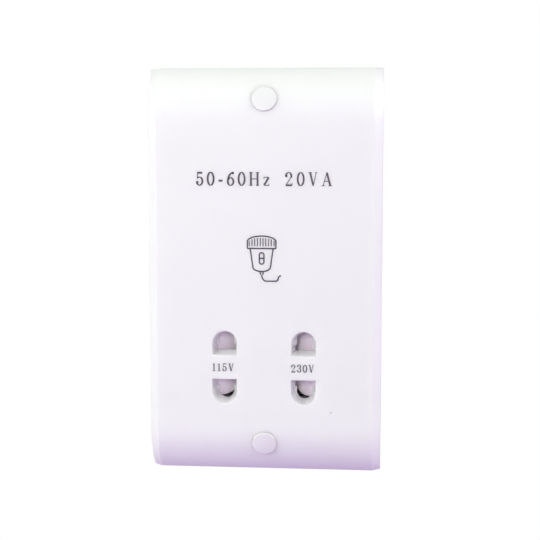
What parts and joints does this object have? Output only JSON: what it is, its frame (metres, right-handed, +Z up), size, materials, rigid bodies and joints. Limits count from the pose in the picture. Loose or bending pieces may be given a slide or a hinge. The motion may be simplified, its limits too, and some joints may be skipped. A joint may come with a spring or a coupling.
{
  "type": "shaver socket",
  "caption": "Wall-mounted shaver socket: glossy arched front plate with shuttered outlet slots and screw caps, over a vented rear housing that holds an isolating transformer.",
  "frame": {"origin": "midway between the two fixing screws, on the wall plane", "axes": "+Z up, the front faces -Y, +Y goes into the wall box, +X to the right seen from the front"},
  "size_m": [0.0814, 0.0511, 0.142],
  "materials": {
    "plate_white": "polished white moulding",
    "cap_white": "polished white moulding",
    "housing_white": "fine spark-eroded moulding",
    "block_plastic": "fine moulded surface",
    "shutter_grey": "smooth moulded surface",
    "screw_steel": "zinc plated",
    "spring_steel": "drawn wire",
    "contact_brass": "stamped, bright",
    "core_steel": "stacked laminations",
    "bobbin_nylon": "natural moulding",
    "winding_copper": "enamelled wire",
    "tape_yellow": "polyester tape",
    "cutout_dark": "moulded",
    "lead_brown": "insulated wire",
    "lead_blue": "insulated wire",
    "lead_black": "insulated wire",
    "lead_yellow": "insulated wire",
    "lead_red": "insulated wire"
  },
  "bodies": {
    "socket": {"front_plate": "plate_white", "top_screw_cap": "cap_white", "bottom_screw_cap": "cap_white", "fixing_screws": "screw_steel", "rear_housing": "housing_white", "housing_screws": "screw_steel", "socket_block": "block_plastic", "contact_cover": "block_plastic", "socket_block_screws": "screw_steel", "shutter_spring_115v": "spring_steel", "shutter_spring_230v": "spring_steel", "common_contact_strip": "contact_brass", "contact_115v": "contact_brass", "contact_230v": "contact_brass", "core_e_stack": "core_steel", "core_i_stack": "core_steel", "core_screws": "screw_steel", "bobbin": "bobbin_nylon", "primary_winding": "winding_copper", "primary_tape": "tape_yellow", "secondary_winding": "winding_copper", "secondary_tape": "tape_yellow", "thermal_cutout": "cutout_dark", "live_terminal": "contact_brass", "earth_terminal": "contact_brass", "neutral_terminal": "contact_brass", "terminal_screws": "screw_steel", "terminal_block": "block_plastic", "terminal_block_screws": "screw_steel", "lead_live": "lead_brown", "lead_cutout": "lead_brown", "lead_neutral": "lead_blue", "lead_common": "lead_black", "lead_115v": "lead_yellow", "lead_230v": "lead_red"},
    "slide_115v": {"shutter_115v": "shutter_grey"},
    "slide_230v": {"shutter_230v": "shutter_grey"}
  },
  "joints": [
    {"name": "shutter_115v_slide", "type": "slide", "parent": "socket", "child": "slide_115v", "axis": [-1, 0, 0], "range_m": [0, 0.007], "stiffness_N_per_m": 120, "springref_m": -0.002, "deforming": ["shutter_spring_115v"]},
    {"name": "shutter_230v_slide", "type": "slide", "parent": "socket", "child": "slide_230v", "axis": [1, 0, 0], "range_m": [0, 0.007], "stiffness_N_per_m": 120, "springref_m": -0.002, "deforming": ["shutter_spring_230v"]}
  ]
}
